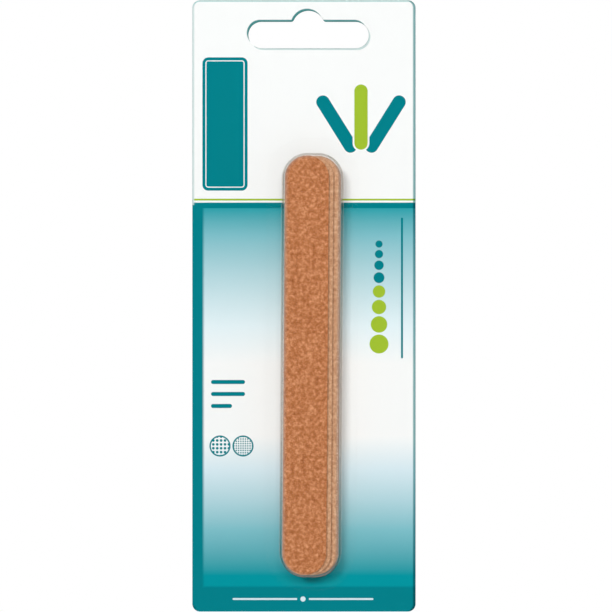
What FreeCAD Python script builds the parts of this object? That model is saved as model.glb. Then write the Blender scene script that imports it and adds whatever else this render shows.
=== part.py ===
import FreeCAD, Part
import math
import os

import Sketcher

# A hang-sell pack of emery boards: a printed paperboard card with a peg slot, ten loose
# two-texture boards stacked on its front, and a clear thermoformed blister sealed over them.
# The pack hangs upright. +Z is up, +X is to the right as the front is seen, and the front
# faces -Y. The origin is on the back of the card, at the top of the peg slot, where the
# peg carries the pack.

os.makedirs("parts", exist_ok=True)
doc = FreeCAD.newDocument("emery_board_pack")

# Driving dimensions in millimetres, and degrees for the lean and the draft
SIZES = {
    # hang card
    "card_width": 60.3,
    "card_height": 165.1,
    "card_thickness": 0.5,
    "card_corner_radius": 2.1,
    "card_side_offset": -1.25,
    # peg slot
    "slot_top_margin": 2.85,
    "slot_length": 32.5,
    "slot_width": 7.1,
    "slot_peak_radius": 4.4,
    "slot_peak_rise": 3.0,
    "slot_shoulder_radius": 0.8,
    # one emery board
    "board_length": 112.4,
    "board_width": 11.8,
    "core_thickness": 0.55,
    "paper_thickness": 0.12,
    "coarse_grit_thickness": 0.14,
    "fine_grit_thickness": 0.09,
    # the stack in its cavity
    "stack_side_offset": 0.76,
    "stack_drop": 95.65,
    "stack_lean": 0.4,
    "side_room": 1.55,
    "end_play": 0.2,
    "running_gap": 0.25,
    "roof_gap": 0.8,
    # thermoformed blister
    "blister_wall": 0.25,
    "draft_angle": 1.2,
    "roof_edge_radius": 1.6,
    "root_bevel": 0.3,
    "flange_margin": 4.2,
}

# How far each board has slid to the side, as a share of the room it has, front board first
SIDE_SHARES = (-1.0, -0.21, 0.68, 0.5, 0.92, 0.8, 1.0, 0.86, 0.97, 0.84)
# How far each board has slid up or down, as a share of half its end play, front board first
END_SHARES = (0.6, -0.5, 0.1, -0.8, 0.3, -0.2, -0.9, 0.4, -0.6, -1.0)
# Which side of each board faces the front: the boards are stacked loose, either way up
FRONT_SIDES = ("coarse", "fine", "fine", "coarse", "fine",
               "coarse", "coarse", "fine", "coarse", "coarse")
BOARD_COUNT = len(FRONT_SIDES)

# The layers of a board, from its fine side to its coarse side
LAYERS = (
    ("fine_grit", "fine_grit_thickness"),
    ("fine_paper", "paper_thickness"),
    ("core", "core_thickness"),
    ("coarse_paper", "paper_thickness"),
    ("coarse_grit", "coarse_grit_thickness"),
)

sizes = doc.addObject("Spreadsheet::Sheet", "Sizes")
for row, (alias, value) in enumerate(SIZES.items(), start=1):
    sizes.set(f"A{row}", alias)
    sizes.set(f"B{row}", str(value))
    sizes.setAlias(f"B{row}", alias)
doc.recompute()

# Sizes that follow from the driving ones
fits = doc.addObject("Spreadsheet::Sheet", "Fits")
fit_rows = []


def add_fit(alias, formula):
    """Give a worked-out size its own named cell."""
    fit_rows.append(alias)
    cell = f"B{len(fit_rows)}"
    fits.set(f"A{len(fit_rows)}", alias)
    fits.set(cell, "=" + formula)
    fits.setAlias(cell, alias)


def size(alias):
    """Read a named size from whichever sheet holds it."""
    sheet = sizes if alias in SIZES else fits
    return float(sheet.get(alias))


add_fit("board_thickness", " + ".join(f"Sizes.{thickness}" for layer, thickness in LAYERS))
add_fit("stack_depth", f"{BOARD_COUNT} * board_thickness")

# The cavity clears the stack all round and widens towards the card. Each end of it is the
# round end of a board, swept across the room that the boards have to slide sideways
add_fit("cavity_depth", "stack_depth + Sizes.roof_gap")
add_fit("cavity_radius", "Sizes.board_width / 2 + Sizes.running_gap"
        " + cavity_depth * tan(Sizes.draft_angle)")
add_fit("cavity_width", "2 * (cavity_radius + Sizes.side_room)")
add_fit("cavity_length", "Sizes.board_length - Sizes.board_width + Sizes.end_play"
        " + 2 * cavity_radius")
add_fit("dome_depth", "cavity_depth + Sizes.blister_wall")
add_fit("dome_radius", "cavity_radius + Sizes.blister_wall")
add_fit("dome_width", "cavity_width + 2 * Sizes.blister_wall")
add_fit("dome_length", "cavity_length + 2 * Sizes.blister_wall")
add_fit("flange_radius", "dome_radius + Sizes.flange_margin")
add_fit("flange_width", "dome_width + 2 * Sizes.flange_margin")
add_fit("flange_length", "dome_length + 2 * Sizes.flange_margin")

# Where each board lies: its back face, its slide to the side and its slide along the stack
for number in range(1, BOARD_COUNT + 1):
    side_share = SIDE_SHARES[number - 1]
    end_share = END_SHARES[number - 1]
    add_fit(f"back_{number:02d}", f"{BOARD_COUNT - number} * board_thickness")
    add_fit(
        f"room_{number:02d}",
        "Sizes.side_room + (cavity_depth - board_thickness"
        f" - back_{number:02d}) * tan(Sizes.draft_angle)",
    )
    add_fit(f"side_{number:02d}", f"{side_share} * room_{number:02d}")
    add_fit(f"lift_{number:02d}", f"{end_share} * Sizes.end_play / 2")
doc.recompute()


# Sketches
def upright_sketch(body, name):
    """Start a sketch on the body's own XZ plane, whose normal points to the front, -Y."""
    sketch = body.newObject("Sketcher::SketchObject", name)
    plane = next(p for p in body.Origin.OriginFeatures if p.Role == "XZ_Plane")
    sketch.AttachmentSupport = [(plane, "")]
    sketch.MapMode = "FlatFace"
    return sketch


def flat(x, z):
    """A point of a sketch."""
    return FreeCAD.Vector(x, z, 0)


def bind(sketch, constraint, name, expression):
    """Add a named constraint and tie it to the sheet."""
    index = sketch.addConstraint(constraint)
    sketch.renameConstraint(index, name)
    sketch.setExpression(f"Constraints.{name}", expression)


START, END, CENTRE = 1, 2, 3
ORIGIN = (-1, 1)


def join_round(sketch, pieces):
    """Join a closed ring of lines and arcs end to start, each tangent to the next."""
    for here, after in zip(pieces, pieces[1:] + pieces[:1]):
        sketch.addConstraint(Sketcher.Constraint("Tangent", here, END, after, START))


def draw_board_outline(sketch):
    """Draw a board upright, with full-round ends, centred on the origin."""
    radius = size("board_width") / 2
    reach = size("board_length") / 2 - radius
    axis = FreeCAD.Vector(0, 0, 1)
    top_circle = Part.Circle(flat(0, reach), axis, radius)
    bottom_circle = Part.Circle(flat(0, -reach), axis, radius)
    top = sketch.addGeometry(Part.ArcOfCircle(top_circle, 0, math.pi))
    left = sketch.addGeometry(Part.LineSegment(flat(-radius, reach), flat(-radius, -reach)))
    bottom = sketch.addGeometry(Part.ArcOfCircle(bottom_circle, math.pi, 2 * math.pi))
    right = sketch.addGeometry(Part.LineSegment(flat(radius, -reach), flat(radius, reach)))
    join_round(sketch, [top, left, bottom, right])
    sketch.addConstraint(Sketcher.Constraint("Vertical", left))
    sketch.addConstraint(Sketcher.Constraint("Equal", top, bottom))
    sketch.addConstraint(Sketcher.Constraint("Symmetric", top, CENTRE, bottom, CENTRE, *ORIGIN))
    bind(sketch, Sketcher.Constraint("Radius", top, radius),
         "end_radius", "Sizes.board_width / 2")
    bind(sketch, Sketcher.Constraint("DistanceY", bottom, CENTRE, top, CENTRE, 2 * reach),
         "centre_distance", "Sizes.board_length - Sizes.board_width")


def draw_rounded_box(sketch, prefix, box):
    """Draw an upright rectangle with rounded corners. The box holds pairs of a value and
    the expression it follows: width, height, radius, left and top."""
    width, height, radius = (box[key][0] for key in ("width", "height", "radius"))
    left, top = box["left"][0], box["top"][0]
    right, bottom = left + width, top - height
    axis = FreeCAD.Vector(0, 0, 1)

    def corner(x, z, turn):
        circle = Part.Circle(flat(x, z), axis, radius)
        return sketch.addGeometry(Part.ArcOfCircle(circle, turn, turn + math.pi / 2))

    def side(x1, z1, x2, z2):
        return sketch.addGeometry(Part.LineSegment(flat(x1, z1), flat(x2, z2)))

    ring = [
        side(right - radius, top, left + radius, top),
        corner(left + radius, top - radius, math.pi / 2),
        side(left, top - radius, left, bottom + radius),
        corner(left + radius, bottom + radius, math.pi),
        side(left + radius, bottom, right - radius, bottom),
        corner(right - radius, bottom + radius, 3 * math.pi / 2),
        side(right, bottom + radius, right, top - radius),
        corner(right - radius, top - radius, 0),
    ]
    join_round(sketch, ring)
    top_side, first, left_side, second, bottom_side, third, right_side, fourth = ring
    for flat_side in (top_side, bottom_side):
        sketch.addConstraint(Sketcher.Constraint("Horizontal", flat_side))
    for upright_side in (left_side, right_side):
        sketch.addConstraint(Sketcher.Constraint("Vertical", upright_side))
    for other in (second, third, fourth):
        sketch.addConstraint(Sketcher.Constraint("Equal", first, other))
    ruled = {
        "radius": Sketcher.Constraint("Radius", first, radius),
        "width": Sketcher.Constraint("DistanceX", left_side, START, right_side, START, width),
        "height": Sketcher.Constraint("DistanceY", bottom_side, START, top_side, START, height),
        "left": Sketcher.Constraint("DistanceX", left_side, START, *ORIGIN, -left),
        "top": Sketcher.Constraint("DistanceY", *ORIGIN, top_side, START, top),
    }
    for key, constraint in ruled.items():
        expression = box[key][1]
        if key == "left":
            expression = f"-({expression})"
        bind(sketch, constraint, f"{prefix}_{key}", expression)


def centred_box(stem):
    """The box of a blister outline, centred on the body's origin."""
    width, length, radius = (size(f"{stem}_{key}") for key in ("width", "length", "radius"))
    return {
        "width": (width, f"Fits.{stem}_width"),
        "height": (length, f"Fits.{stem}_length"),
        "radius": (radius, f"Fits.{stem}_radius"),
        "left": (-width / 2, f"-Fits.{stem}_width / 2"),
        "top": (length / 2, f"Fits.{stem}_length / 2"),
    }


# Features
def new_body(name):
    """Start a named piece."""
    body = doc.addObject("PartDesign::Body", name)
    body.Label = name
    return body


def place_on_card(body, depth, slide="0", lift="0"):
    """Put a piece of the stack in front of the card. The blister is sealed on a little
    askew, so all that it holds leans with it, about the middle of the stack."""
    lean_sine = "sin(Sizes.stack_lean)"
    lean_cosine = "cos(Sizes.stack_lean)"
    x = f"Sizes.stack_side_offset + {slide} * {lean_cosine} + {lift} * {lean_sine}"
    z = f"-Sizes.stack_drop - {slide} * {lean_sine} + {lift} * {lean_cosine}"
    body.Placement.Rotation.Axis = FreeCAD.Vector(0, 1, 0)
    body.setExpression(".Placement.Rotation.Angle", "Sizes.stack_lean")
    body.setExpression(".Placement.Base.x", x)
    body.setExpression(".Placement.Base.y", f"-({depth})")
    body.setExpression(".Placement.Base.z", z)


def pad(body, sketch, name, expression, taper=None):
    """Pad a sketch to the front."""
    feature = body.newObject("PartDesign::Pad", name)
    feature.Profile = sketch
    feature.setExpression("Length", expression)
    if taper:
        feature.setExpression("TaperAngle", taper)
    sketch.Visibility = False
    return feature


def edges_where(shape, test):
    """The names of a shape's edges that pass a test on the list of their end points."""
    return [
        f"Edge{index}" for index, edge in enumerate(shape.Edges, start=1)
        if test([vertex.Point for vertex in edge.Vertexes])
    ]


def near(a, b):
    """True where two lengths are the same to within rounding."""
    return math.isclose(a, b, rel_tol=1e-6, abs_tol=1e-6)


def level_with(depth):
    """A test for edges that lie flat at one distance in front of the card's back."""
    return lambda ends: all(near(end.y, depth) for end in ends)


# Hang card
def make_card():
    """The paperboard card: one die-cut blank with rounded corners and a peg slot."""
    card = new_body("backing_card")
    blank = upright_sketch(card, "card_outline")
    draw_rounded_box(blank, "card", {
        "width": (size("card_width"), "Sizes.card_width"),
        "height": (size("card_height"), "Sizes.card_height"),
        "radius": (size("card_corner_radius"), "Sizes.card_corner_radius"),
        "left": (
            size("card_side_offset") - size("card_width") / 2,
            "Sizes.card_side_offset - Sizes.card_width / 2",
        ),
        "top": (size("slot_top_margin"), "Sizes.slot_top_margin"),
    })
    pad(card, blank, "card_blank", "Sizes.card_thickness")
    doc.recompute()
    blank_volume = card.Shape.Volume

    hole = upright_sketch(card, "peg_slot_outline")
    draw_peg_slot(hole)
    slot = card.newObject("PartDesign::Pocket", "peg_slot")
    slot.Profile = hole
    slot.Type = "ThroughAll"
    slot.Midplane = True
    hole.Visibility = False
    doc.recompute()
    if not card.Shape.Volume < blank_volume:
        raise RuntimeError("the peg slot cuts nothing")

    # The two shoulders where the peak meets the slot are eased, as a cutting rule bends them
    half_chord = peak_half_chord()

    def on_shoulder(ends):
        through = not near(ends[0].y, ends[-1].y)
        at_peak = all(near(abs(end.x), half_chord) for end in ends)
        return through and at_peak

    shoulders = card.newObject("PartDesign::Fillet", "peg_slot_shoulders")
    shoulders.Base = (slot, edges_where(slot.Shape, on_shoulder))
    shoulders.setExpression("Radius", "Sizes.slot_shoulder_radius")
    doc.recompute()
    return card


def peak_half_chord():
    """Half the width of the peak where it meets the slot's top edge."""
    radius = size("slot_peak_radius")
    return math.sqrt(radius ** 2 - (radius - size("slot_peak_rise")) ** 2)


def draw_peg_slot(sketch):
    """A round-ended slot with a round peak in the middle of its top edge. The peak's top
    is on the origin, so the peg's bearing point is the origin of the whole part."""
    end_radius = size("slot_width") / 2
    peak_radius = size("slot_peak_radius")
    rise = size("slot_peak_rise")
    reach = size("slot_length") / 2 - end_radius
    middle = -rise - end_radius
    low = -rise - 2 * end_radius
    half_chord = peak_half_chord()
    turn = math.asin((peak_radius - rise) / peak_radius)
    axis = FreeCAD.Vector(0, 0, 1)
    left_circle = Part.Circle(flat(-reach, middle), axis, end_radius)
    right_circle = Part.Circle(flat(reach, middle), axis, end_radius)
    peak_circle = Part.Circle(flat(0, -peak_radius), axis, peak_radius)
    half_turn = math.pi / 2
    peak = sketch.addGeometry(Part.ArcOfCircle(peak_circle, turn, math.pi - turn))
    left_top = sketch.addGeometry(Part.LineSegment(flat(-half_chord, -rise), flat(-reach, -rise)))
    left_end = sketch.addGeometry(Part.ArcOfCircle(left_circle, half_turn, 3 * half_turn))
    floor = sketch.addGeometry(Part.LineSegment(flat(-reach, low), flat(reach, low)))
    right_end = sketch.addGeometry(Part.ArcOfCircle(right_circle, -half_turn, half_turn))
    right_top = sketch.addGeometry(Part.LineSegment(flat(reach, -rise), flat(half_chord, -rise)))
    for here, after in ((left_top, left_end), (left_end, floor), (floor, right_end),
                        (right_end, right_top)):
        sketch.addConstraint(Sketcher.Constraint("Tangent", here, END, after, START))
    for here, after in ((peak, left_top), (right_top, peak)):
        sketch.addConstraint(Sketcher.Constraint("Coincident", here, END, after, START))
    sketch.addConstraint(Sketcher.Constraint("Horizontal", floor))
    sketch.addConstraint(Sketcher.Constraint("Horizontal", left_top))
    sketch.addConstraint(Sketcher.Constraint("Horizontal", right_top))
    sketch.addConstraint(Sketcher.Constraint("PointOnObject", peak, CENTRE, -2))
    sketch.addConstraint(
        Sketcher.Constraint("Symmetric", left_end, CENTRE, right_end, CENTRE, -2))
    bind(sketch, Sketcher.Constraint("Radius", left_end, end_radius),
         "slot_end_radius", "Sizes.slot_width / 2")
    bind(sketch, Sketcher.Constraint("Radius", peak, peak_radius),
         "peak_radius", "Sizes.slot_peak_radius")
    bind(sketch, Sketcher.Constraint("DistanceX", left_end, CENTRE, right_end, CENTRE, 2 * reach),
         "slot_reach", "Sizes.slot_length - Sizes.slot_width")
    bind(sketch, Sketcher.Constraint("DistanceY", peak, CENTRE, *ORIGIN, peak_radius),
         "peak_drop", "Sizes.slot_peak_radius")
    bind(sketch, Sketcher.Constraint("DistanceY", left_end, CENTRE, *ORIGIN, -middle),
         "slot_drop", "Sizes.slot_peak_rise + Sizes.slot_width / 2")


# Emery boards
def make_board(number):
    """One board: a core between two sheets of backing paper, each with its coat of grit.
    All five are cut by one die, so they share an outline with full-round ends. Each layer
    starts where the one behind it ends."""
    name = f"board_{number:02d}"
    depth = f"Sizes.card_thickness + Fits.back_{number:02d}"
    layers = LAYERS if FRONT_SIDES[number - 1] == "coarse" else LAYERS[::-1]
    board = []
    for layer, thickness in layers:
        body = new_body(f"{name}_{layer}")
        place_on_card(body, depth, f"Fits.side_{number:02d}", f"Fits.lift_{number:02d}")
        outline = upright_sketch(body, f"{name}_{layer}_outline")
        draw_board_outline(outline)
        pad(body, outline, f"{name}_{layer}_sheet", f"Sizes.{thickness}")
        board.append(body)
        depth += f" + Sizes.{thickness}"
    return board


# Clear blister
def make_drafted_block(name, stem, radius):
    """A block that narrows towards the front, with round ends and a rounded front edge."""
    body = new_body(name)
    outline = upright_sketch(body, f"{name}_outline")
    draw_rounded_box(outline, stem, centred_box(stem))
    block = pad(body, outline, f"{name}_block", f"Fits.{stem}_depth", "-Sizes.draft_angle")
    doc.recompute()
    rounding = body.newObject("PartDesign::Fillet", f"{name}_front_edge")
    rounding.Base = (block, edges_where(block.Shape, level_with(-size(f"{stem}_depth"))))
    rounding.setExpression("Radius", radius)
    doc.recompute()
    return body


def make_blister():
    """The thermoformed cover: a drafted dome drawn from thin clear sheet, open at the back,
    with a flat flange all round that is heat-sealed to the front of the card."""
    sheet = make_drafted_block("blister_sheet", "dome", "Sizes.roof_edge_radius")

    # The flange is one sheet with the dome, on the front of the card
    rim = upright_sketch(sheet, "flange_outline")
    draw_rounded_box(rim, "flange", centred_box("flange"))
    flange = pad(sheet, rim, "flange_sheet", "Sizes.blister_wall")
    doc.recompute()

    # The dome springs from its flange over a small bevel, as sheet drawn into a mould does
    foot = -size("blister_wall")
    half_width, half_length = size("dome_width") / 2, size("dome_length") / 2

    def on_root(ends):
        inside = all(abs(end.x) < half_width and abs(end.z) < half_length for end in ends)
        return inside and level_with(foot)(ends)

    root = sheet.newObject("PartDesign::Chamfer", "dome_root")
    root.Base = (flange, edges_where(flange.Shape, on_root))
    root.setExpression("Size", "Sizes.root_bevel")
    doc.recompute()

    # The cavity follows the dome inside it, one wall away, and opens at the back
    plug = make_drafted_block(
        "forming_plug", "cavity", "Sizes.roof_edge_radius - Sizes.blister_wall")
    blister = doc.addObject("Part::Cut", "clear_blister")
    blister.Label = "clear_blister"
    blister.Base = sheet
    blister.Tool = plug
    place_on_card(blister, "Sizes.card_thickness")
    doc.recompute()
    if not blister.Shape.Volume < sheet.Shape.Volume:
        raise RuntimeError("the blister is not hollow")
    return blister


pieces = [make_card()]
for board_number in range(1, BOARD_COUNT + 1):
    pieces += make_board(board_number)
pieces.append(make_blister())
doc.recompute()

# Nothing is written unless every feature and every piece is sound
for feature in doc.Objects:
    if "Invalid" in feature.State or "Error" in feature.State:
        raise RuntimeError(f"{feature.Label} failed: {feature.State}")
for piece in pieces:
    if piece.Shape.isNull() or not piece.Shape.isValid() or len(piece.Shape.Solids) != 1:
        raise RuntimeError(f"{piece.Label} is not one valid solid")
for piece in pieces:
    piece.Shape.exportStep(os.path.join("parts", f"{piece.Label}.step"))
print(f"{len(pieces)} pieces written")
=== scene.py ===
# %% [markdown]
# A pack of emery boards.
# Ten cardboard nail files lie in a loose stack on the front of a printed hang card, under
# a clear cover that is formed from thin sheet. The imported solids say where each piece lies.
# This notebook dresses them: it models the rolled edges of the card, the sanded faces of
# the boards and the thin wall of the cover, and gives every surface its finish.

# %% Load the frame
import math

import bpy
from mathutils import Matrix, Vector


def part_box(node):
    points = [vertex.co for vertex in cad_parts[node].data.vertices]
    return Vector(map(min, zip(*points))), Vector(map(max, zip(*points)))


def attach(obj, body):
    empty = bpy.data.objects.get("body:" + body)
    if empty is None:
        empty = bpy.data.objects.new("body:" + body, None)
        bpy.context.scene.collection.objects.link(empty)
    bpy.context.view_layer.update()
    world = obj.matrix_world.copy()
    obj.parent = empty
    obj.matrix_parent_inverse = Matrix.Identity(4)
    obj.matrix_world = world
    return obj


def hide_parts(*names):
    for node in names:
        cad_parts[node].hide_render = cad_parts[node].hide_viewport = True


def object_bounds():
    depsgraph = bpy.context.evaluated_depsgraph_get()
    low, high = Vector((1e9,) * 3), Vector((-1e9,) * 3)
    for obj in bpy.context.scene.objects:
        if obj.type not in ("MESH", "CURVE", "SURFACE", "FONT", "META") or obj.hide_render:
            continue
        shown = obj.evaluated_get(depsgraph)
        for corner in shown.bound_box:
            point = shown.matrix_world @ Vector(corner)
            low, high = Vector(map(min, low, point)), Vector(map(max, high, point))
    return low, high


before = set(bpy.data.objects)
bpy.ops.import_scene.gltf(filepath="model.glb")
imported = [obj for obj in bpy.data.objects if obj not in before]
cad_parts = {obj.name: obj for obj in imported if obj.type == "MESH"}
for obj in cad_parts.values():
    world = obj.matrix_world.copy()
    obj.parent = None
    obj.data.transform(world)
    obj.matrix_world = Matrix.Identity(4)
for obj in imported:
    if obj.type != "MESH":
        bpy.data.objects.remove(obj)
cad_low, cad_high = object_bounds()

MM = 0.001
print("the pack measures", [round(side / MM, 2) for side in cad_high - cad_low], "mm")

# %% [markdown]
# The camera.
# The pack was photographed straight on, from far enough away that its long edges stay
# parallel. One point of the picture covers the same stretch of card everywhere, so the lens
# follows from that stretch, the width of the picture and the distance.

# %% Camera
PIXEL = 0.27 * MM
PICTURE_SIDE = 612
CAMERA_DISTANCE = 1.2
SENSOR_WIDTH = 36.0

# The frame's origin, the top of the peg slot, shows at this point of the picture
ORIGIN_COLUMN, ORIGIN_ROW = 308.6, 10.75

# This turn levels a camera, and stands a flat sheet up to face the front
UPRIGHT = (math.radians(90), 0, 0)

card_low, card_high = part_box("backing_card")
CARD_FRONT = card_low.y

lens = bpy.data.cameras.new("photo_camera")
lens.sensor_width = SENSOR_WIDTH
lens.lens = SENSOR_WIDTH * CAMERA_DISTANCE / (PICTURE_SIDE * PIXEL)
camera = bpy.data.objects.new("photo_camera", lens)
camera.location = (
    (PICTURE_SIDE / 2 - ORIGIN_COLUMN) * PIXEL,
    CARD_FRONT - CAMERA_DISTANCE,
    (ORIGIN_ROW - PICTURE_SIDE / 2) * PIXEL,
)
camera.rotation_euler = UPRIGHT
bpy.context.scene.collection.objects.link(camera)
bpy.context.scene.camera = camera
print("lens", round(lens.lens, 1), "mm at", CAMERA_DISTANCE, "m")

# %% [markdown]
# Selecting by place.
# Blender's mesh tools act on whatever is selected. With no mouse, a test on the place of
# each face or edge does the picking, and the rest of the work is the same as by hand.

# %% Selecting and applying


def alone(piece):
    """Leave edit mode and make one object the selected, active one."""
    if bpy.context.object and bpy.context.object.mode != "OBJECT":
        bpy.ops.object.mode_set(mode="OBJECT")
    bpy.ops.object.select_all(action="DESELECT")
    piece.select_set(True)
    bpy.context.view_layer.objects.active = piece


def edit(piece, kind):
    """Enter edit mode on one piece, for one kind of item, with nothing selected."""
    alone(piece)
    bpy.ops.object.mode_set(mode="EDIT")
    bpy.ops.mesh.select_mode(type=kind)
    bpy.ops.mesh.select_all(action="DESELECT")


def pick_faces(piece, test):
    """Enter edit mode with only the faces selected whose middle passes the test."""
    edit(piece, "FACE")
    bpy.ops.object.mode_set(mode="OBJECT")
    for face in piece.data.polygons:
        face.select = test(face.center)
    bpy.ops.object.mode_set(mode="EDIT")


def add_modifier(piece, kind, **settings):
    """Give a piece a modifier and apply it."""
    alone(piece)
    modifier = piece.modifiers.new(kind.title(), kind)
    for key, value in settings.items():
        setattr(modifier, key, value)
    bpy.ops.object.modifier_apply(modifier=modifier.name)


def count(piece):
    """Leave edit mode, and say how many triangles a piece has."""
    alone(piece)
    triangles = sum(len(face.vertices) - 2 for face in piece.data.polygons)
    print(piece.name, "has", triangles, "triangles")


# %% Rounding the sharp edges of one level
SHARP_ANGLE = math.radians(40)
SAME_PLANE = 0.02 * MM


def round_edges(piece, level, offset, segments):
    """Bevel the sharp edges whose two ends lie at one y, and say how many they are."""
    edit(piece, "EDGE")
    bpy.ops.mesh.edges_select_sharp(sharpness=SHARP_ANGLE)
    bpy.ops.object.mode_set(mode="OBJECT")
    vertices = piece.data.vertices
    for edge in piece.data.edges:
        ends = [vertices[index].co for index in edge.vertices]
        is_level = all(abs(end.y - level) < SAME_PLANE for end in ends)
        edge.select = edge.select and is_level
    rounded = sum(edge.select for edge in piece.data.edges)
    bpy.ops.object.mode_set(mode="EDIT")
    bpy.ops.mesh.bevel(offset=offset, segments=segments, affect="EDGES")
    bpy.ops.object.mode_set(mode="OBJECT")
    return rounded


# %% [markdown]
# The hang card.
# The card is one blank of paperboard, punched out by a steel rule. The rule presses the
# board down before it cuts, so the printed face rolls over at every cut edge, round the
# outline and round the peg slot alike. A bevel on a copy of the card's own outline gives
# that roll. The back face keeps an almost crisp edge.

# %% Card with rolled edges
ROLLED_EDGE = 0.3 * MM
BACK_EDGE = 0.05 * MM
WELD = 0.001 * MM
FLAT_ANGLE = math.radians(0.5)

hang_card = bpy.data.objects.new("hang_card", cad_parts["backing_card"].data.copy())
bpy.context.scene.collection.objects.link(hang_card)
edit(hang_card, "EDGE")
bpy.ops.mesh.select_all(action="SELECT")
bpy.ops.mesh.remove_doubles(threshold=WELD)
bpy.ops.mesh.dissolve_limited(angle_limit=FLAT_ANGLE)
print("front edges rolled:", round_edges(hang_card, card_low.y, ROLLED_EDGE, segments=4))
print("back edges eased:", round_edges(hang_card, card_high.y, BACK_EDGE, segments=1))

# %% Cut the faces into bands
# A triangle that is as long as the card can show its edge as a hairline
X_AXIS, Z_AXIS = 0, 2
BANDS_ACROSS, BANDS_ALONG = 4, 9

edit(hang_card, "EDGE")
for axis, bands in ((Z_AXIS, BANDS_ALONG), (X_AXIS, BANDS_ACROSS)):
    reach = card_high[axis] - card_low[axis]
    for cut in range(1, bands):
        point, direction = Vector(), Vector()
        point[axis] = card_low[axis] + reach * cut / bands
        direction[axis] = 1
        bpy.ops.mesh.select_all(action="SELECT")
        bpy.ops.mesh.bisect(plane_co=point, plane_no=direction)

# %% Smooth the roll and keep the faces flat
bpy.ops.mesh.select_all(action="SELECT")
bpy.ops.mesh.faces_shade_smooth()
for level in (card_low.y, card_high.y):
    pick_faces(hang_card, lambda place: abs(place.y - level) < SAME_PLANE / 2)
    bpy.ops.mesh.faces_shade_flat()
count(hang_card)
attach(hang_card, "card")
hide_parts("backing_card")

# %% [markdown]
# The blank of a grit coat.
# A board is sanded on both faces: grains of abrasive are scattered on wet glue and set in
# it. One even sheet of small squares is made for each kind of grit, cut to the board's
# outline with its full-round ends, and closed at the back, where it meets its paper. A
# half-plane cut at each of many angles rounds an end, as a file works a corner round.

# %% Outline and lean of a board
BOARD_WIDTH = 11.8 * MM
BOARD_LENGTH = 112.4 * MM
END_RADIUS = BOARD_WIDTH / 2
END_REACH = BOARD_LENGTH / 2 - END_RADIUS
NUMBERS = [f"{number:02d}" for number in range(1, 11)]

core_low, core_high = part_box("board_01_core")
LEAN = math.asin((core_high.x - core_low.x - BOARD_WIDTH) / (BOARD_LENGTH - BOARD_WIDTH))
print("the stack leans", round(math.degrees(LEAN), 2), "degrees")

# %% One sheet of squares, cut to the outline
EDGE_SETBACK = 0.03 * MM
END_CUTS = 22


def make_blank(name, pitch, thickness):
    """A closed coat whose front is a fine sheet of squares, facing -Y at y 0."""
    bpy.ops.object.select_all(action="DESELECT")
    bpy.ops.mesh.primitive_grid_add(
        x_subdivisions=round(BOARD_WIDTH / pitch),
        y_subdivisions=round(BOARD_LENGTH / pitch),
        size=1,
        rotation=UPRIGHT,
    )
    blank = bpy.context.object
    blank.name = name
    blank.scale = (BOARD_WIDTH - 2 * EDGE_SETBACK, BOARD_LENGTH - 2 * EDGE_SETBACK, 1)
    bpy.ops.object.transform_apply(location=True, rotation=True, scale=True)

    # The facets of a rounded end run from just inside its curve to just outside it
    step = math.pi / END_CUTS
    radius = (END_RADIUS - EDGE_SETBACK) * (1 + math.cos(step / 2)) / 2
    for end in (1, -1):
        centre = Vector((0, 0, end * END_REACH))
        for cut in range(1, END_CUTS):
            angle = cut * step
            outward = Vector((math.cos(angle), 0, end * math.sin(angle)))
            pick_faces(blank, lambda place: place.z * end > END_REACH - pitch)
            bpy.ops.mesh.bisect(
                plane_co=centre + outward * radius, plane_no=outward, clear_outer=True)
    bpy.ops.object.mode_set(mode="OBJECT")

    # Only the scattered face is roughened later, so it has its own group
    sanded = blank.vertex_groups.new(name="sanded")
    sanded.add(range(len(blank.data.vertices)), 1.0, "REPLACE")

    # The rim is pushed back and closed, and what that adds leaves the group again
    edit(blank, "EDGE")
    bpy.ops.mesh.select_non_manifold()
    bpy.ops.mesh.extrude_region_move(TRANSFORM_OT_translate={"value": (0, thickness, 0)})
    bpy.ops.mesh.edge_face_add()
    bpy.ops.object.vertex_group_remove_from()
    count(blank)
    return blank


# %% Two blanks
COARSE_PITCH = 0.23 * MM
FINE_PITCH = 0.32 * MM


def depth_of(node):
    """How thick a layer of a board is."""
    low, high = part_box(node)
    return high.y - low.y


blanks = {
    "coarse": make_blank("coarse_blank", COARSE_PITCH, depth_of("board_01_coarse_grit")),
    "fine": make_blank("fine_blank", FINE_PITCH, depth_of("board_01_fine_grit")),
}

# %% [markdown]
# Roughening the coats.
# Each board gets its own copy of a blank, turned to face the way its sanded side faces, and
# laid where its solid is. Two patterns then press it in: cells for the grains and soft
# clouds for the uneven glue under them. The patterns hang in space, so every board takes a
# different part of them and no two faces are alike. They only press inwards, which keeps
# boards that lie face to face from cutting into each other.

# %% Patterns of the grains
GRAIN_DEPTH = {"coarse": 0.075 * MM, "fine": 0.035 * MM}
GRAIN_SIZE = {"coarse": 0.42 * MM, "fine": 0.26 * MM}
GLUE_DEPTH = {"coarse": 0.03 * MM, "fine": 0.012 * MM}
GLUE_SIZE = 1.6 * MM

glue_pattern = bpy.data.textures.new("glue_clouds", "CLOUDS")
glue_pattern.noise_scale = GLUE_SIZE
glue_pattern.noise_depth = 2
grain_patterns = {}
for grit, grain_size in GRAIN_SIZE.items():
    grain_patterns[grit] = bpy.data.textures.new(f"{grit}_grains", "VORONOI")
    grain_patterns[grit].noise_scale = grain_size

# %% Twenty coats, two on every board


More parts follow.
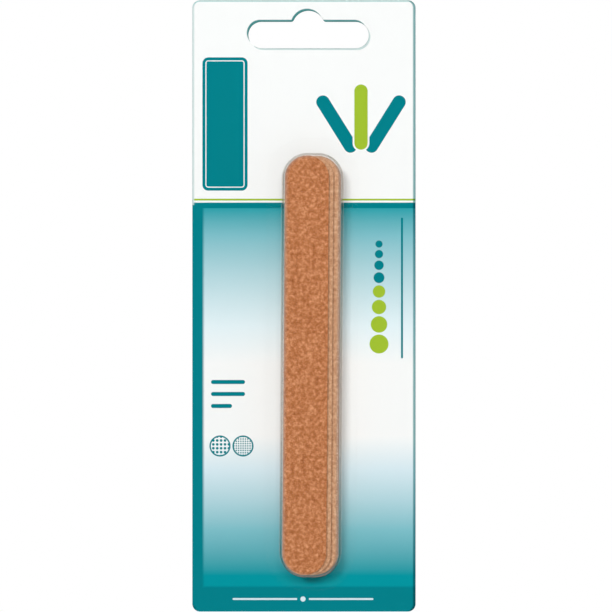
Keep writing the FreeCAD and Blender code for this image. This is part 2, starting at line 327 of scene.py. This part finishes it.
def make_coat(number, grit):
    """Lay one coat over its solid and roughen it."""
    node = f"board_{number}_{grit}_grit"
    low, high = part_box(node)
    core_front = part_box(f"board_{number}_core")[0].y
    faces_front = low.y < core_front
    coat = blanks[grit].copy()
    coat.data = blanks[grit].data.copy()
    coat.name = coat.data.name = f"{grit}_coat_{number}"
    bpy.context.scene.collection.objects.link(coat)
    face = low.y if faces_front else high.y
    turn = 0 if faces_front else math.pi
    coat.data.transform(
        Matrix.Translation(((low.x + high.x) / 2, face, (low.z + high.z) / 2))
        @ Matrix.Rotation(LEAN, 4, "Y") @ Matrix.Rotation(turn, 4, "Z"))
    for pattern, depth in (
        (grain_patterns[grit], GRAIN_DEPTH[grit]), (glue_pattern, GLUE_DEPTH[grit]),
    ):
        add_modifier(coat, "DISPLACE", texture=pattern, texture_coords="LOCAL",
                     direction="Y", strength=depth if faces_front else -depth,
                     mid_level=0, vertex_group="sanded")
    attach(coat, f"board_{number}")
    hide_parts(node)
    return coat


coats = {grit: [make_coat(number, grit) for number in NUMBERS] for grit in blanks}
for blank in blanks.values():
    bpy.data.objects.remove(blank)
print("coats made:", sum(len(group) for group in coats.values()))

# %% [markdown]
# The clear cover.
# The cover is drawn from one thin sheet by heat and vacuum over a mould. A plane with
# rounded corners is its flange. An inset marks the foot of the dome, a second inset with
# depth raises the drafted wall, and bevels round the edge of the roof and the foot, where
# hot sheet never folds sharply. The sheet gets its wall last, inwards. A thin seal coat
# stays free between the flange and the card.

# %% Sizes of the cover
SIDE_ROOM = 1.55 * MM
END_PLAY = 0.2 * MM
RUNNING_GAP = 0.25 * MM
WALL = 0.25 * MM
DRAFT = math.radians(1.2)
FLANGE_MARGIN = 4.2 * MM
ROOF_EDGE = 1.6 * MM
FOOT_BEVEL = 0.3 * MM
SEAL_COAT = 0.02 * MM

cover_low, cover_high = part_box("clear_blister")
cover_middle = (cover_low + cover_high) / 2
cavity_depth = cover_high.y - cover_low.y - WALL
dome_radius = END_RADIUS + RUNNING_GAP + cavity_depth * math.tan(DRAFT) + WALL
flange_radius = dome_radius + FLANGE_MARGIN
flange_width = 2 * (flange_radius + SIDE_ROOM)
flange_length = BOARD_LENGTH - BOARD_WIDTH + END_PLAY + 2 * flange_radius
print("flange", round(flange_width / MM, 2), "by", round(flange_length / MM, 2), "mm")

# %% Flange and dome
CORNER_STEPS = 20

bpy.ops.object.select_all(action="DESELECT")
bpy.ops.mesh.primitive_plane_add(size=1, rotation=UPRIGHT)
cover = bpy.context.object
cover.name = cover.data.name = "clear_cover"
cover.scale = (flange_width, flange_length, 1)
bpy.ops.object.transform_apply(location=True, rotation=True, scale=True)
edit(cover, "EDGE")
bpy.ops.mesh.select_all(action="SELECT")
bpy.ops.mesh.bevel(offset=flange_radius, segments=CORNER_STEPS, affect="VERTICES")
bpy.ops.mesh.select_mode(type="FACE")
bpy.ops.mesh.inset(thickness=FLANGE_MARGIN, depth=0)
bpy.ops.mesh.inset(thickness=cavity_depth * math.tan(DRAFT), depth=cavity_depth)
bpy.ops.object.mode_set(mode="OBJECT")
roof_level = min(vertex.co.y for vertex in cover.data.vertices)
print("dome rises", round(-roof_level / MM, 2), "mm from the sheet")

# %% Round the roof and the foot
print("roof edges rounded:", round_edges(cover, roof_level, ROOF_EDGE, segments=7))
print("foot edges rounded:", round_edges(cover, 0, FOOT_BEVEL, segments=3))
count(cover)

# %% Wall and place
add_modifier(cover, "SOLIDIFY", thickness=WALL - SEAL_COAT, offset=-1, use_even_offset=True)
cover.data.transform(
    Matrix.Translation((cover_middle.x, cover_high.y - WALL, cover_middle.z))
    @ Matrix.Rotation(LEAN, 4, "Y"))
alone(cover)
bpy.ops.object.shade_smooth_by_angle(angle=SHARP_ANGLE)

# The flange and the roof are level, so their shading must not bend towards the rounded rims
LEVEL_FACE = 0.9999
for face in cover.data.polygons:
    if abs(face.normal.y) > LEVEL_FACE:
        face.use_smooth = False
count(cover)
made_low = Vector([min(vertex.co[axis] for vertex in cover.data.vertices) for axis in range(3)])
made_high = Vector([max(vertex.co[axis] for vertex in cover.data.vertices) for axis in range(3)])
print("cover against its solid, in mm:",
      [round(gap / MM, 3) for gap in (*(made_low - cover_low), *(cover_high - made_high))])
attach(cover, "blister")
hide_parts("clear_blister")

# %% [markdown]
# Writing a finish as sums.
# Every surface pattern here is worked out by nodes. A node tree is hard to read as a long
# list of links, so one small class lets an ordinary sum stand for its nodes: adding two
# wires adds a Math node, and the result is a wire again.

# %% Wires


class Wire:
    """One output socket of a finish, which can be used in a sum."""

    def __init__(self, finish, socket):
        self.finish = finish
        self.socket = socket

    def sum(self, operation, *values):
        """Feed wires and numbers to a Math node."""
        sockets = dict(enumerate(values))
        return self.finish.node("ShaderNodeMath", {"operation": operation}, sockets)

    def other(self, output):
        """Another output of the node that this wire comes from."""
        return Wire(self.finish, self.socket.node.outputs[output])

    def __add__(self, other):
        return self.sum("ADD", self, other)

    def __radd__(self, other):
        return self.sum("ADD", other, self)

    def __sub__(self, other):
        return self.sum("SUBTRACT", self, other)

    def __rsub__(self, other):
        return self.sum("SUBTRACT", other, self)

    def __mul__(self, other):
        return self.sum("MULTIPLY", self, other)

    def __rmul__(self, other):
        return self.sum("MULTIPLY", other, self)

    def __truediv__(self, other):
        return self.sum("DIVIDE", self, other)

    def __mod__(self, other):
        return self.sum("FLOORED_MODULO", self, other)

    def __pow__(self, other):
        return self.sum("POWER", self, other)

    def __abs__(self):
        return self.sum("ABSOLUTE", self)

    def least(self, other):
        return self.sum("MINIMUM", self, other)

    def most(self, other):
        return self.sum("MAXIMUM", self, other)

    def clamped(self):
        return self.finish.node(
            "ShaderNodeMath", {"operation": "ADD", "use_clamp": True}, {0: self, 1: 0.0})


# %% Finishes
# A Mix node keeps a set of sockets for each kind of data, and these are the ones for colours
MIX_FIRST, MIX_SECOND, MIX_RESULT = 6, 7, 2


class Finish:
    """A material and the nodes that make it."""

    def __init__(self, name):
        self.material = bpy.data.materials.new(name)
        self.material.use_nodes = True
        self.tree = self.material.node_tree
        self.tree.nodes.clear()

    def node(self, kind, settings=None, sockets=None, output=0):
        """Add a node, set it up, feed its sockets and return one of its outputs."""
        node = self.tree.nodes.new(kind)
        for key, value in (settings or {}).items():
            if key == "stops":
                self.set_stops(node.color_ramp, value)
            else:
                setattr(node, key, value)
        for key, value in (sockets or {}).items():
            if isinstance(value, Wire):
                self.tree.links.new(value.socket, node.inputs[key])
            else:
                node.inputs[key].default_value = value
        return Wire(self, node.outputs[output])

    def set_stops(self, ramp, stops):
        """Give a colour ramp its stops, each a position and a colour."""
        while len(ramp.elements) < len(stops):
            ramp.elements.new(1.0)
        for element, (position, colour) in zip(ramp.elements, stops):
            element.position = position
            element.color = colour

    def place(self):
        """Object coordinates in millimetres, as one wire."""
        point = self.node("ShaderNodeTexCoord", output="Object")
        return self.node(
            "ShaderNodeVectorMath", {"operation": "SCALE"}, {0: point, "Scale": 1 / MM})

    def split(self, vector):
        """The X, Y and Z of a vector, or the red, green and blue of a colour."""
        first = self.node("ShaderNodeSeparateXYZ", sockets={0: vector})
        return first, first.other(1), first.other(2)

    def mix(self, share, first, second, blend="MIX"):
        """Blend two colours."""
        return self.node(
            "ShaderNodeMix", {"data_type": "RGBA", "blend_type": blend},
            {0: share, MIX_FIRST: first, MIX_SECOND: second}, output=MIX_RESULT)

    def noise(self, place, size, detail=2.0, roughness=0.5, stretch=(1, 1, 1)):
        """Soft noise whose blobs are about as wide as size, in millimetres."""
        scaled = self.node(
            "ShaderNodeVectorMath", {"operation": "MULTIPLY"}, {0: place, 1: stretch})
        return self.node("ShaderNodeTexNoise", sockets={
            "Vector": scaled, "Scale": 1 / size, "Detail": detail, "Roughness": roughness})

    def cells(self, place, size):
        """Cells about size mm wide: how far a point is from its cell's middle, in widths."""
        return self.node("ShaderNodeTexVoronoi", sockets={"Vector": place, "Scale": 1 / size})

    def bump(self, height, depth, strength):
        """A relief as deep as depth, from a height between 0 and 1."""
        return self.node("ShaderNodeBump", sockets={
            "Strength": strength, "Distance": depth, "Height": height})

    def surface(self, **sockets):
        """End the finish in the standard shader. An underscore stands for a socket's space."""
        named = {key.replace("_", " "): value for key, value in sockets.items()}
        self.output(self.node("ShaderNodeBsdfPrincipled", sockets=named))
        return self.material

    def output(self, shader):
        """Make a shader the one that the material shows."""
        end = self.tree.nodes.new("ShaderNodeOutputMaterial")
        self.tree.links.new(shader.socket, end.inputs["Surface"])


# %% Colours and coverings


def ink(red, green, blue):
    """A colour as a picture shows it, 0 to 255, made linear for a shader."""
    def linear(value):
        share = value / 255
        return share / 12.92 if share <= 0.04045 else ((share + 0.055) / 1.055) ** 2.4
    return (linear(red), linear(green), linear(blue), 1.0)


def swing(pattern, reach):
    """A pattern of 0 to 1, centred on 0 and spread over reach."""
    return reach * (pattern - 0.5)


def cover_with(material, *pieces):
    """Give pieces one material all over."""
    for piece in pieces:
        piece.data.materials.clear()
        piece.data.materials.append(material)
    print(material.name, "covers", len(pieces), "with", len(material.node_tree.nodes), "nodes")


# %% [markdown]
# Shapes of ink.
# A printed shape is a distance: how far a point of the card lies outside the shape's edge.
# Where it is under nothing the ink shows. Bars, discs and turned bars are enough for the
# whole print, and each stays sharp however near the camera comes. Sizes are in millimetres,
# and places are read from the picture, as a column and a row of it.

# %% Printed shapes
INK_EDGE = 0.06


def inside(distance, edge=INK_EDGE):
    """1 within a shape and 0 outside it, with an edge that is a little soft."""
    return (0.5 - distance / edge).clamped()


def far(across, along):
    """How long the straight way is that goes so far across and so far along."""
    return (across * across + along * along) ** 0.5


def bar(x, z, centre, width, height, radius):
    """Distance to an upright bar with rounded corners."""
    across = (abs(x - centre[0]) - (width / 2 - radius)).most(0.0)
    along = (abs(z - centre[1]) - (height / 2 - radius)).most(0.0)
    return far(across, along) - radius


def disc(x, z, centre, radius):
    """Distance to a round spot."""
    return far(x - centre[0], z - centre[1]) - radius


def slid(x, z, slide):
    """The same point, for a shape that is slid across and up."""
    return x - slide[0], z - slide[1]


def turned(x, z, pivot, angle):
    """The same point, seen from a pivot that is turned."""
    across, along = slid(x, z, pivot)
    cosine, sine = math.cos(angle), math.sin(angle)
    return across * cosine - along * sine, across * sine + along * cosine


# %% From the picture to the card


def at_row(row):
    """How high a row of the picture lies on the card, in millimetres."""
    return (ORIGIN_ROW - row) * PIXEL / MM


def at_pixel(column, row):
    """Where a point of the picture lies on the card, in millimetres."""
    return (column - ORIGIN_COLUMN) * PIXEL / MM, at_row(row)


CARD_MM = [value / MM for value in (card_low.x, card_high.x, card_low.z, card_high.z)]
print("the card's left, right, low and high edge:", [round(edge, 2) for edge in CARD_MM])

# %% [markdown]
# The print.
# The card has a white head, a panel that fades from teal to white and back to teal, and a
# dark band along the foot. A plain label, a fan of three boards, a ladder of dots from
# coarse to fine, a few rules and two round swatches make up the rest. It is all one sum over
# the card's front, and each of these is a step of it.

# %% Inks
WHITE_STOCK = ink(250, 252, 251)
DARK_TEAL = ink(0, 128, 138)
MID_TEAL = ink(4, 156, 167)
LOW_TEAL = ink(0, 149, 160)
SOFT_TEAL = ink(126, 192, 202)
PALE_TEAL = ink(216, 236, 243)
FAINT_TEAL = ink(229, 245, 249)
LIME = ink(162, 194, 52)

# %% Panel and foot band
PANEL_TOP = at_row(205)
PANEL_END = at_row(583)
BAND_TOP = at_row(586.6)
LEFT_STRIP = 3.0
SOFT_EDGE = 0.7
BORDER_DROP, BORDER_HALF = 0.1, 0.75
LIME_RISE, LIME_HALF = 1.45, 0.25

# Each tint, and how far down the panel it lies, from 0 to 1
PANEL_TINTS = [
    (0.0, MID_TEAL), (0.08, SOFT_TEAL), (0.32, FAINT_TEAL), (0.42, WHITE_STOCK),
    (0.61, WHITE_STOCK), (0.70, PALE_TEAL), (0.86, SOFT_TEAL), (0.98, LOW_TEAL),
]


def draw_panel(finish, x, z, paper):
    """The fading panel, its border above, the strip down its left side and the foot band."""
    fall = (PANEL_TOP - z) / (PANEL_TOP - PANEL_END)
    tints = finish.node("ShaderNodeValToRGB", {"stops": PANEL_TINTS}, {0: fall})
    panel = inside(z - PANEL_TOP)
    paint = finish.mix(panel, paper, tints)
    strip = panel * inside(x - (CARD_MM[0] + LEFT_STRIP), SOFT_EDGE)
    border = inside(abs(z - (PANEL_TOP - BORDER_DROP)) - BORDER_HALF)
    band = inside(z - BAND_TOP, SOFT_EDGE)
    paint = finish.mix(strip.most(border).most(band), paint, DARK_TEAL)
    return finish.mix(inside(abs(z - (PANEL_TOP + LIME_RISE)) - LIME_HALF), paint, LIME)


print("the panel falls from", round(PANEL_TOP, 1), "to", round(PANEL_END, 1), "mm")

# %% Label
LABEL_CENTRE = at_pixel(225, 124)
LABEL_WIDTH, LABEL_HEIGHT, LABEL_RADIUS = 12.2, 36.0, 1.6
LABEL_LINE_INSET, LABEL_LINE_HALF = 0.95, 0.13


def draw_label(finish, x, z, paint):
    """A bare label with a thin line round it."""
    distance = bar(x, z, LABEL_CENTRE, LABEL_WIDTH, LABEL_HEIGHT, LABEL_RADIUS)
    line = inside(abs(distance + LABEL_LINE_INSET) - LABEL_LINE_HALF)
    paint = finish.mix(inside(distance), paint, DARK_TEAL)
    return finish.mix(line, paint, WHITE_STOCK)


# %% Fan of three boards
FAN_PIVOT = at_pixel(361, 163)
FAN_ANGLE = math.radians(32)
FAN_REACH = 12.4
FAN_WIDTH, FAN_LENGTH = 3.6, 17.6
FAN_MARGIN = 0.45


def draw_fan(finish, x, z, paint):
    """Three boards fanned out from one point, each with a white margin."""
    for angle, colour in ((-FAN_ANGLE, DARK_TEAL), (FAN_ANGLE, DARK_TEAL), (0, LIME)):
        across, along = turned(x, z, FAN_PIVOT, angle)
        distance = bar(across, along, (0, FAN_REACH), FAN_WIDTH, FAN_LENGTH, FAN_WIDTH / 2)
        paint = finish.mix(inside(distance - FAN_MARGIN), paint, WHITE_STOCK)
        paint = finish.mix(inside(distance), paint, colour)
    return paint


# %% Ladder of dots
LADDER_FOOT = at_pixel(379, 344)
LADDER_DOTS, LIME_DOTS = 8, 4
FIRST_RADIUS, SHRINK = 2.55, 0.87
DOT_STRIDE, DOT_GAP = 1.78, 0.75
RULE_CENTRE = at_pixel(402, 288)
RULE_WIDTH, RULE_LENGTH, RULE_RADIUS = 0.55, 38.0, 0.27


def draw_ladder(finish, x, z, paint):
    """Dots that shrink from coarse to fine, beside a thin rule."""
    middle, height = LADDER_FOOT
    radius = FIRST_RADIUS
    for dot in range(LADDER_DOTS):
        colour = LIME if dot < LIME_DOTS else DARK_TEAL
        paint = finish.mix(inside(disc(x, z, (middle, height), radius)), paint, colour)
        height += DOT_STRIDE * radius + DOT_GAP
        radius *= SHRINK
    rule = bar(x, z, RULE_CENTRE, RULE_WIDTH, RULE_LENGTH, RULE_RADIUS)
    return finish.mix(inside(rule), paint, DARK_TEAL)


# %% Short rules
NOTE_LEFT = 211
NOTE_HEIGHT = 1.1

# Each rule: its row of the picture and the column where it ends
NOTES = ((382, 245), (394, 245), (406, 232))


def draw_notes(finish, x, z, paint):
    """Three short rules, one under the other."""
    for row, right in NOTES:
        centre = at_pixel((NOTE_LEFT + right) / 2, row)
        width = (right - NOTE_LEFT) * PIXEL / MM
        rule = bar(x, z, centre, width, NOTE_HEIGHT, NOTE_HEIGHT / 2)
        paint = finish.mix(inside(rule), paint, DARK_TEAL)
    return paint


# %% Swatches
SWATCH_ROW = 446
SWATCH_RADIUS, SWATCH_RING = 2.65, 0.2

# Each swatch: its column of the picture, and the spacing and the radius of its dots
SWATCHES = ((220, 1.05, 0.36), (243, 0.62, 0.2))


def draw_swatches(finish, x, z, paint):
    """Two ringed swatches, one of coarse dots and one of fine dots."""
    for column, spacing, radius in SWATCHES:
        distance = disc(x, z, at_pixel(column, SWATCH_ROW), SWATCH_RADIUS)
        across = abs(x % spacing - spacing / 2)
        along = abs(z % spacing - spacing / 2)
        dots = inside(far(across, along) - radius)
        paint = finish.mix(inside(distance) * dots, paint, DARK_TEAL)
        paint = finish.mix(inside(abs(distance) - SWATCH_RING), paint, DARK_TEAL)
    return paint


# %% Rule on the foot band
FOOT_CENTRE = at_pixel(303, 599)
FOOT_RULE_LENGTH, FOOT_RULE_HEIGHT = 38.0, 0.5
FOOT_GAP, FOOT_SPOT = 1.6, 0.7


def draw_foot(finish, x, z, paint):
    """A rule with a round spot in the middle of the foot band."""
    gap = inside(FOOT_GAP - abs(x - FOOT_CENTRE[0]))
    rule = bar(
        x, z, FOOT_CENTRE, FOOT_RULE_LENGTH, FOOT_RULE_HEIGHT, FOOT_RULE_HEIGHT / 2)
    spot = inside(disc(x, z, FOOT_CENTRE, FOOT_SPOT))
    return finish.mix((inside(rule) * gap).most(spot), paint, PALE_TEAL)


# %% [markdown]
# Painted light and shade on the rolled edges.
# The roll of a cut edge is only about as wide as one point of the picture, so thin lines of
# painted light and shade help its own light and shade. Each follows the outline of the card
# or of the peg slot, slid a little aside, and fills the sliver between that outline and the cut
# edge.

# %% Outlines of the card and the slot
SLOT_LENGTH, SLOT_HEIGHT = 32.5, 7.1
PEAK_RADIUS, PEAK_RISE = 4.4, 3.0
CARD_CORNER = 2.1


def card_shape(x, z):
    """Distance to the outline of the card."""
    left, right, low, high = CARD_MM
    centre = ((left + right) / 2, (low + high) / 2)
    return bar(x, z, centre, right - left, high - low, CARD_CORNER)


def slot_shape(x, z):
    """Distance to the peg slot with its peak."""
    slot_middle = -(PEAK_RISE + SLOT_HEIGHT / 2)
    straight = bar(x, z, (0, slot_middle), SLOT_LENGTH, SLOT_HEIGHT, SLOT_HEIGHT / 2)
    return straight.least(disc(x, z, (0, -PEAK_RADIUS), PEAK_RADIUS))


# %% Painted light and shade of the cut edges
# In turn: painted shade, painted light for the top edge, painted light, and painted shade for the
# right edge
CUT_SHADE = ink(71, 139, 138)
CUT_TOP_LIGHT = ink(176, 216, 214)
CUT_LIGHT = ink(200, 219, 217)
EDGE_SHADE = ink(130, 172, 174)
LIGHT_SHARE = 0.9

# How far each line is slid, across and up
SLOT_LIGHT_SLIDE = (0.42, -0.5)
SLOT_SHADE_SLIDE = (-0.42, 0.56)
LEFT_LIGHT_SLIDE = (0.5, 0)
TOP_LIGHT_SLIDE = (0, -0.45)
RIGHT_SHADE_SLIDE = (-0.7, 0)
SLOT_LINE_EDGE = 0.2
CARD_LINE_EDGE = 0.3


def draw_edge_light_shade(finish, x, z, paint):
    """Painted shade where the roll turns from the light, painted light where it turns to it."""
    # Painted light on the slot's lower and right edges, painted shade on its upper and left ones
    for slide, colour in ((SLOT_LIGHT_SLIDE, CUT_LIGHT), (SLOT_SHADE_SLIDE, CUT_SHADE)):
        line = inside(slot_shape(*slid(x, z, slide)), SLOT_LINE_EDGE)
        paint = finish.mix(line, paint, colour)
    # Painted light along the card's left and top edges, in the white head only
    head = 1.0 - inside(z - PANEL_TOP)
    for slide, colour in ((LEFT_LIGHT_SLIDE, CUT_LIGHT), (TOP_LIGHT_SLIDE, CUT_TOP_LIGHT)):
        line = 1.0 - inside(card_shape(*slid(x, z, slide)), CARD_LINE_EDGE)
        paint = finish.mix(line * head * LIGHT_SHARE, paint, colour)
    # Painted shade along the card's right edge
    line = 1.0 - inside(card_shape(*slid(x, z, RIGHT_SHADE_SLIDE)), CARD_LINE_EDGE)
    return finish.mix(line, paint, EDGE_SHADE, blend="MULTIPLY")


# %% [markdown]
# Board and varnish.
# The front is print under a thin satin varnish. The cut edge and the back are bare pulp:
# short grey fibres in cloudy layers, with a fleck of darker stock here and there. The
# depth of a point parts the one from the other, at the back of the roll.

# %% Printed card finish
BOARD_GREY = ink(228, 226, 218)
BOARD_SHADE = ink(204, 200, 190)
FLECK_BROWN = ink(150, 142, 128)
FLECK_SPACING, FLECK_SHARE = 1.8, 0.7
LARGEST_FLECK = 0.2
BARE_ROUGHNESS, VARNISH_SMOOTHING = 0.78, 0.46
VARNISH_EDGE = 0.05


def printed_card_finish():
    """Coated board: print under a satin varnish in front, bare fibres behind."""
    finish = Finish("printed_board")
    place = finish.place()
    x, y, z = finish.split(place)
    paint = draw_panel(finish, x, z, WHITE_STOCK)
    for draw in (draw_label, draw_fan, draw_ladder, draw_notes, draw_swatches, draw_foot,
                 draw_edge_light_shade):
        paint = draw(finish, x, z, paint)

    fibres = finish.noise(place, size=0.35, detail=4.0, roughness=0.65, stretch=(1, 1, 0.35))
    clouds = finish.noise(place, size=3.5, detail=4.0, roughness=0.7)
    pulp = (0.5 + swing(fibres, 0.7) + swing(clouds, 1.6)).clamped()

    # Each cell has a fleck in its middle, up to a share of the cell, and most are tiny
    cells = finish.cells(place, FLECK_SPACING)
    chance = finish.split(cells.other("Color"))[0]
    fleck = inside(cells - LARGEST_FLECK * chance ** 3.0)
    bare = finish.mix(pulp, BOARD_GREY, BOARD_SHADE)
    bare = finish.mix(fleck * FLECK_SHARE, bare, FLECK_BROWN)
    front = inside(y - (CARD_FRONT + ROLLED_EDGE) / MM, VARNISH_EDGE)
    return finish.surface(
        Base_Color=finish.mix(front, bare, paint),
        Roughness=BARE_ROUGHNESS - VARNISH_SMOOTHING * front + swing(fibres, 0.05),
        Normal=finish.bump(fibres, depth=0.01 * MM, strength=0.35),
        Specular_IOR_Level=0.05,
    )


cover_with(printed_card_finish(), hang_card)

# %% [markdown]
# Grit.
# Seen close, a sanded face is a crowd of grains in glue, most of them brown and a few paler
# or darker. From further off they melt into a warm mottle. Cells give each grain a tone of
# its own, and two sizes of soft noise give the mottle.

# %% Grit finishes
MOTTLE_SIZE = 0.95
DRIFT_SIZE = 6.0


def grit_finish(name, grain, relief, deep, body, bright):
    """Grains in glue, between a deep, a body and a bright tone."""
    finish = Finish(name)
    place = finish.place()
    grains = finish.cells(place, grain)
    tone = finish.split(grains.other("Color"))[0]
    mottle = finish.noise(place, MOTTLE_SIZE)
    drift = finish.noise(place, DRIFT_SIZE)
    level = (swing(tone, 0.3) + swing(mottle, 1.6) + swing(drift, 0.12) + 0.5).clamped()
    tones = {"stops": [(0.0, deep), (0.5, body), (1.0, bright)]}
    return finish.surface(
        Base_Color=finish.node("ShaderNodeValToRGB", tones, {0: level}),
        Roughness=(0.62 + 0.3 * mottle).clamped(),
        Normal=finish.bump(1.0 - grains, depth=relief, strength=0.8),
        Specular_IOR_Level=0.15,
    )


coarse_finish = grit_finish(
    "coarse_grit", grain=0.3, relief=0.05 * MM,
    deep=ink(152, 87, 49), body=ink(189, 120, 76), bright=ink(225, 161, 117))
fine_finish = grit_finish(
    "fine_grit", grain=0.2, relief=0.03 * MM,
    deep=ink(172, 122, 86), body=ink(203, 154, 118), bright=ink(228, 187, 152))
cover_with(coarse_finish, *coats["coarse"])
cover_with(fine_finish, *coats["fine"])

# %% [markdown]
# Paper and core.
# Under each coat lies a sheet of brown backing paper, and between the two papers is the
# core, of paler cardboard. They show only as thin edges, where the blade has parted the
# fibres, so both patterns are drawn out along the sheet and closely layered through it.

# %% Paper and core finishes


def fibre_finish(name, light, dark, roughness):
    """Pulp whose fibres lie along the sheet."""
    finish = Finish(name)
    place = finish.place()
    layers = finish.noise(
        place, size=0.5, detail=3.0, roughness=0.6, stretch=(0.35, 9.0, 0.35))
    specks = finish.noise(place, size=0.18)
    share = (0.5 + swing(layers, 1.3) + swing(specks, 0.8)).clamped()
    return finish.surface(
        Base_Color=finish.mix(share, light, dark),
        Roughness=roughness,
        Normal=finish.bump(layers, depth=0.03 * MM, strength=0.6),
    )


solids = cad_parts
cores = [solids[f"board_{number}_core"] for number in NUMBERS]
papers = [solids[f"board_{number}_{side}_paper"] for number in NUMBERS for side in blanks]
core_finish = fibre_finish(
    "board_core", light=ink(224, 203, 172), dark=ink(193, 168, 134), roughness=0.9)
paper_finish = fibre_finish(
    "backing_paper", light=ink(190, 150, 112), dark=ink(158, 118, 82), roughness=0.85)
cover_with(core_finish, *cores)
cover_with(paper_finish, *papers)

# %% [markdown]
# Clear sheet.
# Light passes straight through so thin a sheet. Where it lies flat next to nothing of it
# shows. Hot sheet is drawn thin and a little milky where it rolls over the edge of the roof,
# and it mirrors what stands round it where it is seen along its surface. So a mix of a
# see-through shader and a dim mirror is truer here than solid glass, which would bend and
# darken what lies in it. Lamp light ignores the mirror, so the cover throws no shadow.

# %% Clear sheet finish
PLAIN_WHITE = ink(255, 255, 255)
MIRROR_TINT = ink(186, 175, 166)
SHEET_SHINE = 0.005
ROLL_MILK = 0.3
GRAZING_SHINE = 0.7


def seen_directly(finish):
    """1 for rays that come from the camera, a mirror or a clear sheet."""
    rays = finish.node("ShaderNodeLightPath", output="Is Camera Ray")
    return rays.most(rays.other("Is Glossy Ray")).most(rays.other("Is Transmission Ray"))


def clear_sheet_finish():
    """Thin clear sheet with the faint ripple of vacuum forming."""
    finish = Finish("clear_sheet")
    ripple = finish.noise(finish.place(), size=9.0, detail=1.0)
    relief = finish.bump(ripple, depth=0.12 * MM, strength=0.5)
    through = finish.node("ShaderNodeBsdfTransparent", sockets={"Color": PLAIN_WHITE})
    mirror = finish.node("ShaderNodeBsdfGlossy", sockets={
        "Color": MIRROR_TINT, "Roughness": 0.12, "Normal": relief})

    # Next to nothing on level faces and upright walls, and up to 1 round a rolled edge
    normal = finish.node("ShaderNodeTexCoord", output="Normal")
    forwards = abs(finish.split(normal)[1])
    rolled = 4.0 * forwards * (1.0 - forwards)
    aside = finish.node("ShaderNodeLayerWeight", sockets={"Blend": 0.5}, output="Facing")
    share = SHEET_SHINE + ROLL_MILK * rolled + GRAZING_SHINE * aside ** 3.0
    share = share.clamped() * seen_directly(finish)
    finish.output(finish.node(
        "ShaderNodeMixShader", sockets={0: share, 1: through, 2: mirror}))
    return finish.material


cover_with(clear_sheet_finish(), cover)

# %% [markdown]
# Floor and light.
# The pack hangs a little above a pale floor. A soft key lamp stands behind the camera, up
# and to the left, so that the stack throws a short shadow to its right and below. A fill
# lamp behind and above the camera keeps that shadow pale, and so does a little light from
# all round. A narrow lamp low on the right only draws a glint along the edge of the cover,
# and two more light the edges of the boards and the back. The key, fill and side lamps stay
# out of the cover's reflections, as a photographer flags them.

# %% Floor
FLOOR_DROP = 30 * MM
FLOOR_SIDE = 6.0
NEAR_FLOOR = 120.0
FLOOR_FADE = 260.0
SHADOW_SHARE = 0.55

bpy.ops.object.select_all(action="DESELECT")
bpy.ops.mesh.primitive_plane_add(
    size=FLOOR_SIDE, location=(0, 0, cad_low.z - FLOOR_DROP))
floor = bpy.context.object
floor.name = "floor"


def floor_finish():
    """White, with the pack's shadow kept close to it."""
    finish = Finish("pale_floor")
    x, y, _ = finish.split(finish.place())
    close = (1.0 - (far(x, y) - NEAR_FLOOR) / FLOOR_FADE).clamped()
    matt = finish.node("ShaderNodeBsdfDiffuse", sockets={"Color": ink(240, 240, 240)})
    white = finish.node("ShaderNodeEmission", sockets={"Color": PLAIN_WHITE})
    share = seen_directly(finish) * (1.0 - SHADOW_SHARE * close)
    finish.output(finish.node("ShaderNodeMixShader", sockets={0: share, 1: matt, 2: white}))
    return finish.material


cover_with(floor_finish(), floor)

# %% World
AMBIENT = 0.16

world = bpy.data.worlds.new("studio")
world.use_nodes = True
bpy.context.scene.world = world


class Surroundings(Finish):
    """The nodes of the world."""

    def __init__(self, world):
        self.tree = world.node_tree
        self.tree.nodes.clear()

    def output(self, shader):
        """Make a shader the one that surrounds everything."""
        end = self.tree.nodes.new("ShaderNodeOutputWorld")
        self.tree.links.new(shader.socket, end.inputs["Surface"])

    def glow(self, strength):
        """Plain white light from all round."""
        return self.node(
            "ShaderNodeBackground", sockets={"Color": PLAIN_WHITE, "Strength": strength})


surroundings = Surroundings(world)
surroundings.output(surroundings.node("ShaderNodeMixShader", sockets={
    0: seen_directly(surroundings), 1: surroundings.glow(AMBIENT), 2: surroundings.glow(1.0)}))
print("the world lights the pack at", AMBIENT, "and shows as white")

# %% Lamps
pack_middle = (cad_low + cad_high) / 2


def add_lamp(name, offset, wide, watts, tall=None, mirrored=True):
    """A soft lamp that faces the middle of the pack, square where no height is given."""
    data = bpy.data.lights.new(name, "AREA")
    data.energy = watts
    data.shape = "RECTANGLE" if tall else "SQUARE"
    data.size = wide
    if tall:
        data.size_y = tall
    lamp = bpy.data.objects.new(name, data)
    lamp.location = pack_middle + Vector(offset)
    lamp.rotation_euler = (-Vector(offset)).to_track_quat("-Z", "Y").to_euler()
    lamp.visible_glossy = mirrored
    bpy.context.scene.collection.objects.link(lamp)
    return lamp


add_lamp("key_lamp", offset=(-0.66, -2.0, 0.54), wide=0.52, tall=0.24, watts=19.3, mirrored=False)
add_lamp("fill_lamp", offset=(0.1, -2.2, 0.6), wide=0.8, tall=0.24, watts=14.6, mirrored=False)
add_lamp("side_lamp", offset=(1.0, -0.08, 0.1), wide=0.3, tall=0.6, watts=1.8, mirrored=False)
add_lamp("back_lamp", offset=(0.3, 1.1, 0.35), wide=0.5, watts=8.1)
glint_lamp = add_lamp("glint_lamp", offset=(0.75, -0.45, -0.25), wide=0.08, tall=0.6, watts=0.5)
glint_lamp.visible_diffuse = False

# %% Colour management and sizes
bpy.context.scene.view_settings.view_transform = "Standard"
bpy.context.view_layer.update()
